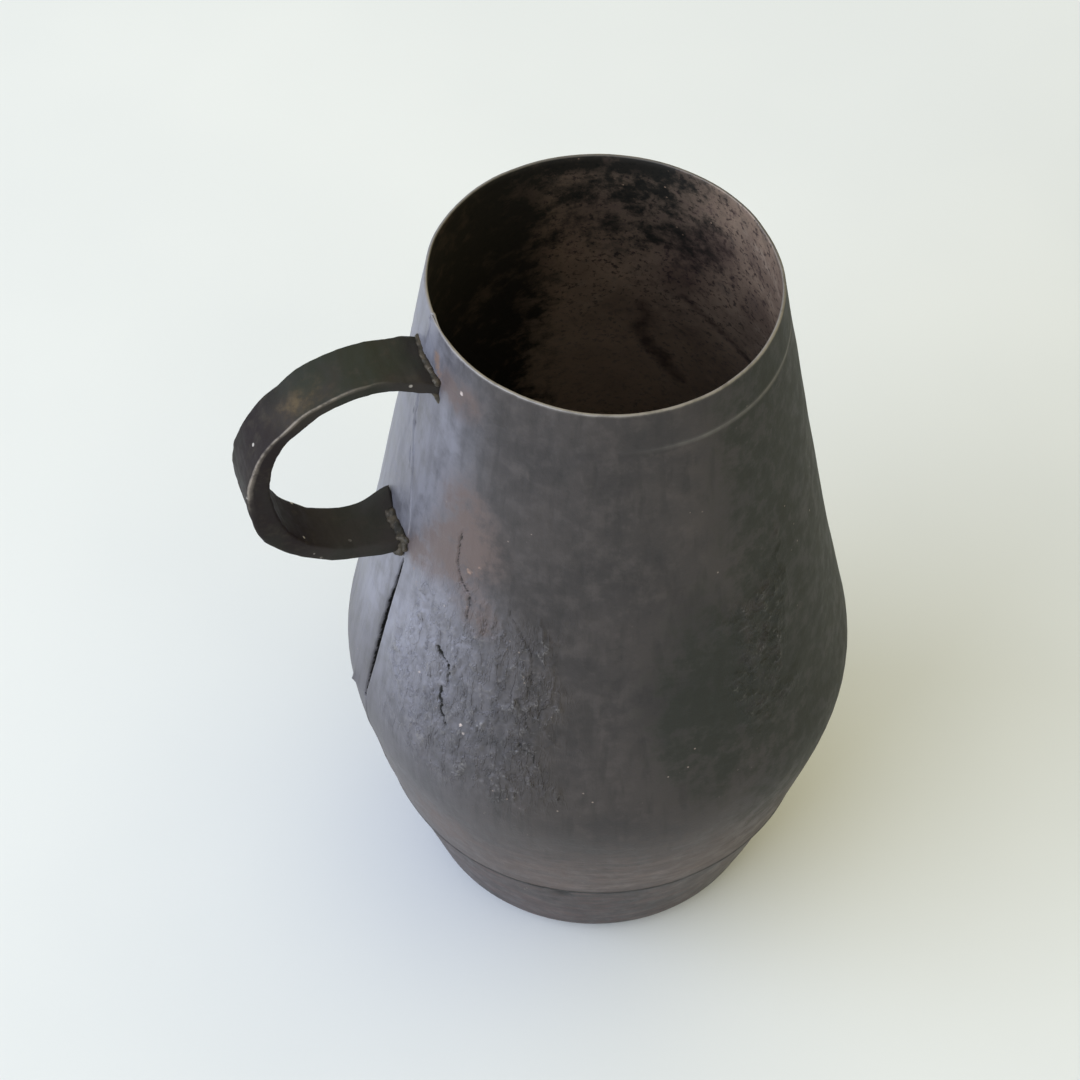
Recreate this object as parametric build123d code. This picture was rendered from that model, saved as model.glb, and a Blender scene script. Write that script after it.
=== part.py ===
from build123d import *
import math
import os

# A pear-shaped copper mug of hammered sheet. The body is one sheet, rolled and lapped along a side
# seam. A raised pan closes it below, and a forged strap handle is soldered on over the seam.
# Millimetres. +Z is up, Z is the mug's axis, and the origin is the middle of the flat base.
# The handle points along -X.

# --- vessel -----------------------------------------------------------------------------------
height = 197.0              # base to rim
rim_radius = 39.0           # outside of the rim
belly_radius = 61.7         # outside, at the widest place
belly_height = 73.5         # height of the widest place
belly_bend = 42.0           # radius of the curve that turns the belly over
upper_flank_angle = 12.0    # lean of the wall where the upper flank leaves the belly, degrees
lower_flank_angle = 11.7    # lean of the wall where the lower flank leaves the belly, degrees
lower_flank_bend = 560.0    # radius of the slight bulge of the lower flank
base_corner = 7.7           # radius of the corner between the pan's wall and its flat bottom
sheet = 0.8                 # thickness of the copper sheet

# --- joint between the body and the pan -------------------------------------------------------
band_height = 34.5          # lower edge of the body, which shows as a step around the pan
pan_overlap = 7.0           # how far the pan's wall goes up inside the body
base_solder_height = 1.4    # solder bead that stands on the pan's upper edge

# --- side seam --------------------------------------------------------------------------------
seam_angle = 186.5          # where the seam runs, degrees about Z from +X
slit_width = 0.6            # gap along the outer edge of the lap
lap_width = 8.0             # width of the tab that lies behind the seam
lap_clearance = 2.5         # the tab stops this far from the rim and from the pan's solder
lap_end = 2.0               # and runs past each end of the slit by this much
open_seam_low = 79.0        # between these heights the solder is gone and the slit is open
open_seam_high = 129.0

# --- handle, in its upright middle plane: distance from the axis and height ---------------------
strap_width = 12.6
strap_edge = 0.45           # rounding of the strap's long edges
handle_outer = [(36.0, 183.2), (45.5, 187.5), (58.0, 189.0), (72.4, 183.8), (82.0, 172.2),
                (84.5, 159.5), (81.2, 145.6), (70.5, 135.8), (58.0, 131.8), (40.0, 131.0)]
handle_inner = [(36.0, 180.2), (46.0, 184.2), (57.0, 185.7), (69.0, 181.8), (77.0, 173.0),
                (79.0, 160.5), (75.6, 147.0), (66.5, 138.6), (55.0, 136.0), (40.0, 136.6)]

# --- solder around the two ends of the handle: a collar from a foot in the wall to a tip ----------
collar_corner = 1.4                 # rounding of the collar's section
collar_tip_spread = 0.7             # how much larger than the strap the tip is
upper_collar_foot = (37.0, 182.3)
upper_collar_tip = (43.6, 185.1)
upper_collar_spread = 4.0           # how much larger than the strap the foot is
upper_strap_thickness = 3.3
lower_collar_foot = (46.0, 133.8)
lower_collar_tip = (54.2, 133.9)
lower_collar_spread = 5.2
lower_strap_thickness = 4.6


def toward(distance, angle):
    """Offset in the half section: angle in degrees above the horizontal."""
    return Vector(distance * math.cos(math.radians(angle)), distance * math.sin(math.radians(angle)))


def on_circle(center, radius, z, side):
    """Point of a circle at height z, on its outer (+1) or inner (-1) side."""
    return Vector(center.X + side * math.sqrt(radius ** 2 - (z - center.Y) ** 2), z)


def half_section(inset, z_low, z_high):
    """Half section of the vessel's outer shape moved inwards by inset, between two heights.

    The outline is four tangent arcs: the pan's corner, the lower flank, the belly and the upper flank.
    Concentric arcs give every inset outline, so each layer of sheet is even. An inset of one sheet is
    the outside of the pan, whose bottom is at height 0.
    """
    belly = Vector(belly_radius - belly_bend, belly_height)
    across = toward(1, upper_flank_angle)
    chord = Vector(rim_radius, height) - (belly + across * belly_bend)
    upper_bend = chord.dot(chord) / (2 * chord.dot(across))
    upper = belly + across * (belly_bend + upper_bend)
    lower = belly + toward(belly_bend - lower_flank_bend, -lower_flank_angle)
    to_corner = lower_flank_bend - sheet - base_corner
    corner = on_circle(lower, to_corner, base_corner, 1)
    corner_lean = math.degrees(math.asin((base_corner - lower.Y) / to_corner))
    corner_bend = base_corner + sheet - inset

    floor = Vector(corner.X, inset - sheet)
    corner_middle = corner + toward(corner_bend, (corner_lean - 90) / 2)
    corner_top = corner + toward(corner_bend, corner_lean)
    belly_bottom = belly + toward(belly_bend - inset, -lower_flank_angle)
    belly_side = belly + toward(belly_bend - inset, 0)
    belly_top = belly + toward(belly_bend - inset, upper_flank_angle)
    lower_middle = on_circle(lower, lower_flank_bend - inset, (corner_top.Y + belly_bottom.Y) / 2, 1)
    upper_middle = on_circle(upper, upper_bend + inset, (belly_top.Y + height) / 2, -1)
    rim = on_circle(upper, upper_bend + inset, height, -1)

    outline = [
        Line((0, height), (0, floor.Y)),
        Line((0, floor.Y), floor),
        ThreePointArc(floor, corner_middle, corner_top),
        ThreePointArc(corner_top, lower_middle, belly_bottom),
        ThreePointArc(belly_bottom, belly_side, belly_top),
        ThreePointArc(belly_top, upper_middle, rim),
        Line(rim, (0, height)),
    ]
    reach = 2 * belly_radius
    window = Pos(reach / 2, (z_low + z_high) / 2) * Rectangle(reach, z_high - z_low)
    return make_face(outline) & window


def turned(inset, z_low, z_high, start=0.0, arc=360.0):
    """Solid swept by that half section about Z, over an arc of degrees from the angle start."""
    upright = Plane.XZ * half_section(inset, z_low, z_high)
    return Rot(0, 0, start) * revolve(upright, Axis.Z, arc)


def layer(outside, inside, z_low, z_high, start=0.0, arc=360.0):
    """Layer of sheet or solder between two insets, which follows the vessel's shape."""
    return turned(outside, z_low, z_high, start, arc) - turned(inside, z_low, z_high, start, arc)


def arc_of(width):
    """Degrees that a width covers around the belly."""
    return math.degrees(width / belly_radius)


pan_top = band_height + pan_overlap
lap_low = pan_top + base_solder_height + lap_clearance
lap_high = height - lap_clearance
slit_low = lap_low + lap_end
slit_high = lap_high - lap_end


def slit(z_low, z_high):
    """Space of the slit along the lap's outer edge, as deep as the sheet."""
    return layer(0, sheet, z_low, z_high, seam_angle, arc_of(slit_width))


def make_body_wall():
    """Rolled sheet: the full round, the tab inside the lap, less the slit."""
    sheet_round = layer(0, sheet, band_height, height)
    tab_start = seam_angle - arc_of(lap_width / 4)
    tab = layer(sheet / 2, 2 * sheet, lap_low, lap_high, tab_start, arc_of(lap_width))
    return sheet_round + tab - slit(slit_low, slit_high)


def make_base_pan():
    """Raised pan: flat bottom, rounded corner, and a leaning wall that goes up inside the body."""
    return layer(sheet, 2 * sheet, 0, pan_top)


def make_base_seam_solder():
    """Bead of solder on the pan's upper edge, against the body."""
    return layer(sheet, 2 * sheet, pan_top, pan_top + base_solder_height)


def make_side_seam_solder():
    """What is left of the solder in the slit: one run above the open stretch and one below it."""
    return slit(open_seam_high, slit_high) + slit(slit_low, open_seam_low)


def make_handle_strap():
    """Forged strap: one outline for its outer face, one for its inner face, cut back to the wall."""
    outline = [
        Spline(handle_outer),
        Line(handle_outer[-1], handle_inner[-1]),
        Spline(handle_inner),
        Line(handle_inner[0], handle_outer[0]),
    ]
    strap = extrude(handle_plane * make_face(outline), strap_width / 2, both=True)
    long_edges = strap.faces().filter_by(Axis.Y).edges()
    return fillet(long_edges, strap_edge) - vessel_outside


def make_handle_solder(foot, tip, foot_spread, thickness):
    """Collar of solder around an end of the strap: it tapers from a foot on the wall to the strap."""
    sections = []
    for place, spread in ((foot, foot_spread), (tip, collar_tip_spread)):
        middle = handle_plane.from_local_coords(place)
        upright = Plane(middle, x_dir=(0, 1, 0), z_dir=(-1, 0, 0))
        width = strap_width + spread
        depth = thickness + spread
        sections.append(upright * RectangleRounded(width, depth, collar_corner))
    return loft(sections) - vessel_outside - handle_strap


handle_plane = Plane(origin=(0, 0, 0), x_dir=(-1, 0, 0), z_dir=(0, 1, 0))
vessel_outside = turned(0, -sheet, height)
handle_strap = make_handle_strap()

nodes = {
    "body_wall": make_body_wall(),
    "base_pan": make_base_pan(),
    "base_seam_solder": make_base_seam_solder(),
    "side_seam_solder": make_side_seam_solder(),
    "handle_strap": handle_strap,
    "upper_handle_solder": make_handle_solder(
        upper_collar_foot, upper_collar_tip, upper_collar_spread, upper_strap_thickness
    ),
    "lower_handle_solder": make_handle_solder(
        lower_collar_foot, lower_collar_tip, lower_collar_spread, lower_strap_thickness
    ),
}

os.makedirs("parts", exist_ok=True)
for name, shape in nodes.items():
    export_step(shape, f"parts/{name}.step")
    print(name, len(shape.solids()), "solids", round(shape.volume, 1), "mm3")
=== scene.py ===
# %% [markdown]
# # An old copper mug, built the way the coppersmith built it
# This lesson makes a tall, pear-shaped mug: a sheet rolled and lapped down one side, a raised pan let into
# its foot, a strap handle and the solder that holds them together. The shapes are worn and dented, and the
# copper is nearly black with age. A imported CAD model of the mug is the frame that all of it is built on, and
# each visible piece takes the place of one of that model's parts.

# %% Load the frame
import math
import bmesh
import bpy
import numpy as np
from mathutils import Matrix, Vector, noise


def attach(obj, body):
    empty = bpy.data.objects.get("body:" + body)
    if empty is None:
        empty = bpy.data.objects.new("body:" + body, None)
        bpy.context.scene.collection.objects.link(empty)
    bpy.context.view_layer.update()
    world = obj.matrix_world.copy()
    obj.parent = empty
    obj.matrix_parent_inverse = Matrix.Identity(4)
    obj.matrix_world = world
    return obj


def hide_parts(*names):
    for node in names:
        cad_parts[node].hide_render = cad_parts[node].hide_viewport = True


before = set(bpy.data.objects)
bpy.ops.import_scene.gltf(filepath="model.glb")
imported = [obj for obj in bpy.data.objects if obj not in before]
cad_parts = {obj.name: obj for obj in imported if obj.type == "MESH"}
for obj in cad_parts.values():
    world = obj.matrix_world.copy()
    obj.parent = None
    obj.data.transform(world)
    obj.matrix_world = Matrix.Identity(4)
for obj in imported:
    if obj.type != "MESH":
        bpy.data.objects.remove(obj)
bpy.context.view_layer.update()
MM = 0.001


# %% [markdown]
# ## The camera
# A small thing on a table is usually seen from a standing person's height, so the camera looks down steeply.
# A long lens keeps the upright sides from leaning. The camera is put on a line from a point inside the mug,
# by a heading and an angle above the table, because those two numbers are what a person would say.

# %% Camera
aim = Vector((-6.3, 25.2, 80)) * MM
camera_heading = math.radians(-18.71)
camera_above = math.radians(51.22)
camera_distance = 752.7 * MM

toward_camera = Vector((
    math.sin(camera_heading) * math.cos(camera_above),
    -math.cos(camera_heading) * math.cos(camera_above),
    math.sin(camera_above),
))
camera = bpy.data.objects.new("camera", bpy.data.cameras.new("camera"))
camera.data.sensor_width = 36
camera.data.lens = 100
camera.location = aim + toward_camera * camera_distance
camera.rotation_euler = toward_camera.to_track_quat("Z", "Y").to_euler()
bpy.context.scene.collection.objects.link(camera)
bpy.context.scene.camera = camera
print("camera stands at", [round(v, 3) for v in camera.location])

# %% [markdown]
# ## Small helpers for materials
# Every finish here is a node tree: a recipe in which noises and masks decide how much of each colour shows.
# Written out node by node, such a recipe is long and hard to read. These helpers each add one node and fill
# its sockets in one line: a number or colour sets a socket, and another node's output is linked to it.

# %% Node helpers
def add_node(tree, kind, inputs=None, **settings):
    """Adds a node, sets its options, then fills each named socket with a value or a link."""
    node = tree.nodes.new(kind)
    for name, value in settings.items():
        setattr(node, name, value)
    for name, value in (inputs or {}).items():
        if isinstance(value, bpy.types.NodeSocket):
            tree.links.new(value, node.inputs[name])
        else:
            node.inputs[name].default_value = value
    return node


def ramp(tree, value, low, high, out_low=0.0, out_high=1.0):
    """Takes `value` from the range low..high to out_low..out_high, with soft ends."""
    sockets = {"Value": value, "From Min": low, "From Max": high, "To Min": out_low, "To Max": out_high}
    return add_node(tree, "ShaderNodeMapRange", sockets, interpolation_type="SMOOTHSTEP").outputs[0]


def maths(tree, operation, first, second=0.0):
    """One sum on two values."""
    return add_node(tree, "ShaderNodeMath", {0: first, 1: second}, operation=operation).outputs[0]


def times(tree, first, second):
    """Two values multiplied."""
    return maths(tree, "MULTIPLY", first, second)


def plus(tree, first, second):
    """Two values added."""
    return maths(tree, "ADD", first, second)


# %% [markdown]
# ## Grain and colour
# Two textures do all the work. Soft noise gives clouds, mottling and brush strokes, according to its scale
# and how it is stretched. A cell pattern, cut off close to the cells' centres, gives rare bright specks.
# Colours are laid over each other like thin washes, each as strong as a value between 0 and 1.

# %% Texture and colour helpers
def speckle(tree, place, scale, detail=3.0, rough=0.5, stretch=(1, 1, 1), warp=0.0):
    """Noise, from about 0 to 1, of `scale` lumps per metre, drawn out along any axis by `stretch`."""
    spread = add_node(tree, "ShaderNodeVectorMath", {0: place, 1: stretch}, operation="MULTIPLY")
    sockets = {"Vector": spread.outputs[0], "Scale": scale, "Detail": detail, "Roughness": rough}
    return add_node(tree, "ShaderNodeTexNoise", {**sockets, "Distortion": warp}).outputs[0]


def specks(tree, place, scale, gone, full, where):
    """Rare round specks inside a mask, cut from a cell pattern at these distances from its centres."""
    cells = add_node(tree, "ShaderNodeTexVoronoi", {"Vector": place, "Scale": scale})
    return times(tree, ramp(tree, cells.outputs["Distance"], gone, full), where)


def opaque(colour):
    """A colour of three numbers with the fourth that a socket wants. A link is left alone."""
    return (*colour, 1) if isinstance(colour, tuple) else colour


def blend_colours(tree, amount, first, second):
    """The first colour where amount is 0 and the second where it is 1."""
    sockets = {0: amount, 6: opaque(first), 7: opaque(second)}
    return add_node(tree, "ShaderNodeMix", sockets, data_type="RGBA").outputs[2]


def lay_over(tree, tone, washes):
    """Lays washes over a tone, one after the other. Each wash is (how strong, colour)."""
    for amount, colour in washes:
        tone = blend_colours(tree, amount, tone, colour)
    return tone


# %% Start and end of a finish
def start_finish(name):
    """An empty material, its node tree, and the place on the object in metres."""
    finish = bpy.data.materials.new(name)
    finish.use_nodes = True
    finish.node_tree.nodes.clear()
    place = add_node(finish.node_tree, "ShaderNodeTexCoord").outputs["Object"]
    return finish, finish.node_tree, place


def end_finish(finish, tone, rough, relief, bump_strength, bump_mm, extra):
    """Adds the shader, with a bump whose relief is about 0 to 1 and bump_mm high, and the output."""
    tree = finish.node_tree
    bump = {"Height": relief, "Strength": bump_strength, "Distance": bump_mm * MM}
    normal = add_node(tree, "ShaderNodeBump", bump).outputs[0]
    sockets = {"Base Color": tone, "Roughness": rough, "Normal": normal, **extra}
    shader = add_node(tree, "ShaderNodeBsdfPrincipled", sockets)
    add_node(tree, "ShaderNodeOutputMaterial", {"Surface": shader.outputs[0]})
    print(f"finish {finish.name} has {len(tree.nodes)} nodes")


# %% [markdown]
# ## The table top
# The mug stands on a plain pale board. A single large plane is enough: it is part of the stage, not of the
# mug. Faint, wide clouds of tone keep it from looking like a computer's idea of white.

# %% Floor
reach = 3.0
corners = [(-reach, -reach, 0), (reach, -reach, 0), (reach, reach, 0), (-reach, reach, 0)]
floor_mesh = bpy.data.meshes.new("floor")
floor_mesh.from_pydata(corners, [], [(0, 1, 2, 3)])
floor = bpy.data.objects.new("floor", floor_mesh)
bpy.context.scene.collection.objects.link(floor)

board, tree, place = start_finish("pale_board")
cloud = speckle(tree, place, 6)
fibre = speckle(tree, place, 900, detail=2)
tone = blend_colours(tree, ramp(tree, cloud, 0.3, 0.7), (0.775, 0.788, 0.818), (0.815, 0.825, 0.848))
end_finish(board, tone, 0.85, fibre, 0.15, 0.1, {})
floor_mesh.materials.append(board)
print("floor is", 2 * reach, "m across")

# %% [markdown]
# ## Light
# Dark metal shows its form only by what it reflects. One very large soft panel stands on the left, like a
# window, and draws a long sheen down that side. The sky around is dimmer and a little yellow, so the soft
# shadow on the right is warm.

# %% Lights
def panel_light(name, place_mm, target_mm, size_mm, power, colour):
    """A rectangular soft light at one point, turned to face another."""
    lamp = bpy.data.lights.new(name, "AREA")
    lamp.shape = "RECTANGLE"
    lamp.size = size_mm[0] * MM
    lamp.size_y = size_mm[1] * MM
    lamp.energy = power
    lamp.color = colour
    holder = bpy.data.objects.new(name, lamp)
    holder.location = Vector(place_mm) * MM
    direction = Vector(place_mm) - Vector(target_mm)
    holder.rotation_euler = direction.to_track_quat("Z", "Y").to_euler()
    bpy.context.scene.collection.objects.link(holder)


panel_light("window", (-1900, -150, 950), (0, 0, 80), (2600, 1500), 45, (0.80, 0.90, 1.06))

world = bpy.data.worlds.new("room")
bpy.context.scene.world = world
world.use_nodes = True
tree = world.node_tree
facing = add_node(tree, "ShaderNodeTexCoord").outputs["Generated"]
toward = add_node(tree, "ShaderNodeSeparateXYZ", {0: facing})
from_above = ramp(tree, toward.outputs[2], 0.0, 0.75)
from_right = ramp(tree, toward.outputs[0], -0.6, 0.7)
sky = blend_colours(tree, from_right, (0.80, 0.89, 1.05), (1.20, 1.10, 0.60))
light = blend_colours(tree, from_above, (0.22, 0.21, 0.17), sky)
background = tree.nodes["Background"]
tree.links.new(light, background.inputs["Color"])
background.inputs["Strength"].default_value = 0.92
bpy.context.scene.view_settings.view_transform = "Standard"
print("lights:", [lamp.name for lamp in bpy.data.lights])

# %% [markdown]
# ## The mug's measures
# All measures are in millimetres, from the middle of the foot, with the handle along -X. Heights go up the
# mug. Places around it are in degrees from the handle, counted toward the front, as a smith would turn it.
# The outline is four arcs: a hollow upper flank, a tight belly, a nearly straight lower flank and a corner.

# %% Measures
height = 197.0
rim_radius = 39.0
belly_radius = 61.7
belly_height = 73.5
belly_bend = 42.0
upper_flank_angle = math.radians(12.0)
lower_flank_angle = math.radians(11.7)
lower_flank_bend = 560.0
base_corner = 7.7
sheet = 0.8
band_height = 34.5
pan_overlap = 7.0

belly_centre = np.array([belly_radius - belly_bend, belly_height])
across = np.array([math.cos(upper_flank_angle), math.sin(upper_flank_angle)])
chord = np.array([rim_radius, height]) - (belly_centre + across * belly_bend)
upper_bend = chord @ chord / (2 * chord @ across)
upper_centre = belly_centre + across * (belly_bend + upper_bend)
down = np.array([math.cos(lower_flank_angle), -math.sin(lower_flank_angle)])
lower_centre = belly_centre + (belly_bend - lower_flank_bend) * down
corner_reach = lower_flank_bend - sheet - base_corner
corner_rise = base_corner - lower_centre[1]
corner_centre = np.array([lower_centre[0] + math.sqrt(corner_reach**2 - corner_rise**2), base_corner])
corner_turn = math.atan2(*(corner_centre - lower_centre)[::-1])
print("hollow of the upper flank:", round(upper_bend), "mm radius")


# %% The outline as a function of height
def flank_radius(level, inset):
    """Distance from the axis to the sheet at a height, `inset` mm in from the outer face."""
    level = np.asarray(level, float)
    reach_up = belly_centre[1] + (belly_bend - inset) * across[1]
    reach_down = belly_centre[1] + (belly_bend - inset) * down[1]
    upper = upper_centre[0] - np.sqrt((upper_bend + inset)**2 - (level - upper_centre[1])**2)
    belly = belly_centre[0] + np.sqrt(np.maximum((belly_bend - inset)**2 - (level - belly_centre[1])**2, 0))
    lower = lower_centre[0] + np.sqrt((lower_flank_bend - inset)**2 - (level - lower_centre[1])**2)
    return np.where(level > reach_up, upper, np.where(level < reach_down, lower, belly))


def degree_mm(level):
    """The length in mm of one degree around the outer face at a height."""
    return math.radians(1) * flank_radius(level, 0)


landmarks = (height, belly_height, band_height)
print("radius at the rim, belly and band:", [round(float(flank_radius(z, 0)), 1) for z in landmarks])

# %% [markdown]
# ## Soft shapes for masks and dents
# Wear has no hard edges. Nearly every dent, stain and worn spot below is built from four simple functions: a
# step, a range and a bell, all with soft sides, and smooth noise wrapped round the body. Noise suits hammer
# dents, because it is smooth, never repeats, and comes out the same on each run.

# %% Soft shapes
drum = 57.0
seed_step = 9.7


def soft_step(value, low, high):
    """0 below low, 1 above high and smooth between."""
    x = np.clip((np.asarray(value, float) - low) / (high - low), 0, 1)
    return x * x * (3 - 2 * x)


def soft_range(value, rise, fall):
    """0 up to the start of the rise, 1 from its end to the start of the fall, and 0 after that."""
    return soft_step(value, *rise) * (1 - soft_step(value, *fall))


def bell(off, width):
    """1 where off is 0, falling smoothly to nearly nothing at twice the width."""
    return np.exp(-(off / width) ** 2)


def lumps(azimuth, level, wide, tall, seed):
    """Smooth noise, about -1 to 1, whose lumps are wide x tall mm on a drum as big as the body."""
    azimuth, level = np.broadcast_arrays(np.asarray(azimuth, float), np.asarray(level, float))
    turn = np.radians(azimuth)
    east = drum * np.cos(turn) / wide + seed_step * seed
    points = np.stack([east, drum * np.sin(turn) / wide, level / tall], -1)
    values = [noise.noise(p) for p in points.reshape(-1, 3).tolist()]
    return np.array(values).reshape(azimuth.shape)


print("a bell at 0, 1 and 2 times its width:", [round(float(bell(off, 1)), 2) for off in (0, 1, 2)])

# %% [markdown]
# ## Nothing hand-made is round
# The real mug has been squeezed, knocked and beaten true again. One function bends the ideal outline: the
# mouth is a little oval and tilted, the lower belly leans, and shallow hammer dents run all over. Every piece
# that touches the body uses the same function, so the pieces still meet.

# %% Wear of the body
squeeze_turn = math.radians(20.5)
squeeze_along = 0.0037
squeeze_aslant = -0.0122
tilt_along = -0.32
tilt_aslant = 0.23
lean = 0.5
lean_turn = math.radians(341)
wide_dents = 0.34
small_dents = 0.12


def settle(radius, azimuth, level):
    """The point at a radius, azimuth and height once the body is out of round. In mm."""
    turn = np.radians(np.asarray(azimuth, float) + 180)
    slant = turn + squeeze_turn
    near_rim = soft_step(level, 80, height)
    squeeze = near_rim * (squeeze_along * np.cos(2 * slant) + squeeze_aslant * np.sin(2 * slant))
    leaning = lean * np.cos(turn - lean_turn) * soft_range(level, (40, 60), (60, 90))
    dents = wide_dents * lumps(azimuth, level, 26, 30, 1) + small_dents * lumps(azimuth, level, 9, 10, 2)
    ratio = radius / flank_radius(level, 0)
    worn = radius * (1 + squeeze) + (leaning + dents * soft_step(level, 2, 12)) * ratio
    tilt = near_rim * (tilt_along * np.cos(slant) + tilt_aslant * np.sin(slant))
    return np.stack(np.broadcast_arrays(worn * np.cos(turn), worn * np.sin(turn), level + tilt), -1)


band_dents = wide_dents * lumps(np.arange(0, 360, 5), band_height, 26, 30, 1)
print("the wide dents at the band range over", round(float(np.ptp(band_dents)), 2), "mm")

# %% [markdown]
# ## From points to a piece
# A sheet part is two skins, outer and inner, joined along their edges. Each skin is a grid of points, and the
# two grids may be of different fineness, because only the outer one carries fine relief. `stitch` closes the
# gap between two edges that have different numbers of points, by always stepping along the edge that lags.

# %% Mesh helpers
def grid_faces(first, rows, columns, closed=False, flip=False):
    """Four-cornered faces over a grid of points that was laid down row by row."""
    faces = []
    last = columns if closed else columns - 1
    for row in range(rows - 1):
        for column in range(last):
            a = first + row * columns + column
            b = first + row * columns + (column + 1) % columns
            face = (a, b, b + columns, a + columns)
            faces.append(face[::-1] if flip else face)
    return faces


def stitch(one, other, place_one, place_other):
    """Triangles that join two edges: their point numbers, and how far along each point is."""
    faces = []
    i = j = 0
    while i < len(one) - 1 or j < len(other) - 1:
        one_next = place_one[i + 1] if i < len(one) - 1 else math.inf
        other_next = place_other[j + 1] if j < len(other) - 1 else math.inf
        if one_next <= other_next:
            faces.append((int(one[i]), int(one[i + 1]), int(other[j])))
            i += 1
        else:
            faces.append((int(one[i]), int(other[j + 1]), int(other[j])))
            j += 1
    return faces


def make_piece(name, points_mm, faces):
    """A smooth mesh object in the mug's own frame, from points in millimetres."""
    mesh = bpy.data.meshes.new(name)
    mesh.from_pydata((np.asarray(points_mm) * MM).tolist(), [], faces)
    mesh.polygons.foreach_set("use_smooth", [True] * len(mesh.polygons))
    piece = bpy.data.objects.new(name, mesh)
    bpy.context.scene.collection.objects.link(piece)
    triangles = sum(len(p.vertices) - 2 for p in mesh.polygons)
    print(f"{name}: {len(mesh.vertices)} points, {triangles} triangles")
    return piece


def paint(piece, name, values):
    """Stores one number a point on the mesh, for a finish to read by name."""
    layer = piece.data.attributes.new(name, "FLOAT", "POINT")
    layer.data.foreach_set("value", np.asarray(values, np.float32).ravel())


def show_paint(piece):
    """Prints the names of what is painted on a piece."""
    painted = [layer.name for layer in piece.data.attributes if layer.data_type == "FLOAT"]
    print(f"painted on {piece.name}:", ", ".join(painted))


print("two edges of 2 and 4 points are joined by", len(stitch([0, 1], [2, 3, 4, 5], [0, 3], [0, 1, 2, 3])),
      "triangles")

# %% [markdown]
# ## The side seam
# The body is one sheet. Its two long edges are thinned, lapped and soldered, and the seam runs down behind
# the handle. Below the handle the solder has given way, and the lap gapes in a long dark slit. In the mesh
# the sheet really is a strip whose two ends pass over each other, so the slit is a true opening with a floor.

# %% Seam line and gape
seam_azimuth = 6.5
seam_path = [(34.5, 1.5), (60, 3.5), (79, 5), (104, 7), (128.6, 9), (142, 8), (158, 3), (166, -1), (197, -3)]
seam_edge = 0.22
turn_end = seam_azimuth + 360
lap_degrees = 8.0
lap_end = turn_end + lap_degrees
gape_low = 77.0
gape_high = 131.0


def seam_line(level):
    """Where the seam is at a height, in degrees from the handle."""
    levels, places = zip(*seam_path)
    return np.interp(level, levels, places)


def gape(level):
    """How far the lap stands open at a height: 0 closed to 1 at its widest."""
    along = np.clip((np.asarray(level, float) - gape_low) / (gape_high - gape_low), 0, 1)
    return np.sin(math.pi * along**0.8) ** 0.6 * (along > 0) * (along < 1)


print("the seam gapes over", gape_high - gape_low, "mm")

# %% [markdown]
# ## Where the mesh needs to be fine
# Relief of half a millimetre needs cells of half a millimetre, but only where there is relief. The spacing
# of the columns and rows is therefore a function: small inside the worked zones, growing gently outside.
# Adding up one over the spacing and sampling at whole numbers gives the positions.

# %% Graded spacing
def graded(start, end, coarse, zones, growth):
    """Positions from start to end. Each zone is (low, high, spacing), and spacing grows away from it."""
    fine = np.linspace(start, end, 20000)
    spacing = np.full(fine.shape, coarse)
    for low, high, close in zones:
        outside = np.maximum(np.maximum(low - fine, fine - high), 0)
        spacing = np.minimum(spacing, close + growth * outside)
    count = np.cumsum(1 / spacing)
    count = (count - count[0]) * (fine[1] - fine[0])
    wanted = np.linspace(0, count[-1], int(math.ceil(count[-1])) + 1)
    return np.interp(wanted, count, fine)


lap_zones = [(seam_azimuth, seam_azimuth + 1, 0.25), (turn_end - 9, turn_end, 0.75),
             (turn_end - 2.5, turn_end + 1.0, 0.2)]
flaked_zones = [(14, 62, 0.44), (27, 35, 0.32), (106, 126, 0.85)]
level_zones = [(80, 150, 0.46), (185.8, 187.6, 0.45), (height - 1, height, 0.4), (band_height, 36, 0.6)]
columns = graded(seam_azimuth, lap_end, 3.4, lap_zones + flaked_zones, 0.22)
rows = graded(band_height + 0.25, height - 0.35, 2.4, level_zones, 0.16)
inner_columns = graded(seam_azimuth, lap_end, 3.0, [(195, 265, 1.5), (turn_end, lap_end, 0.9)], 0.2)
inner_rows = np.linspace(height - 0.35, band_height + 0.25, 96)
print(len(columns), "columns and", len(rows), "rows on the outer skin")
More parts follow.
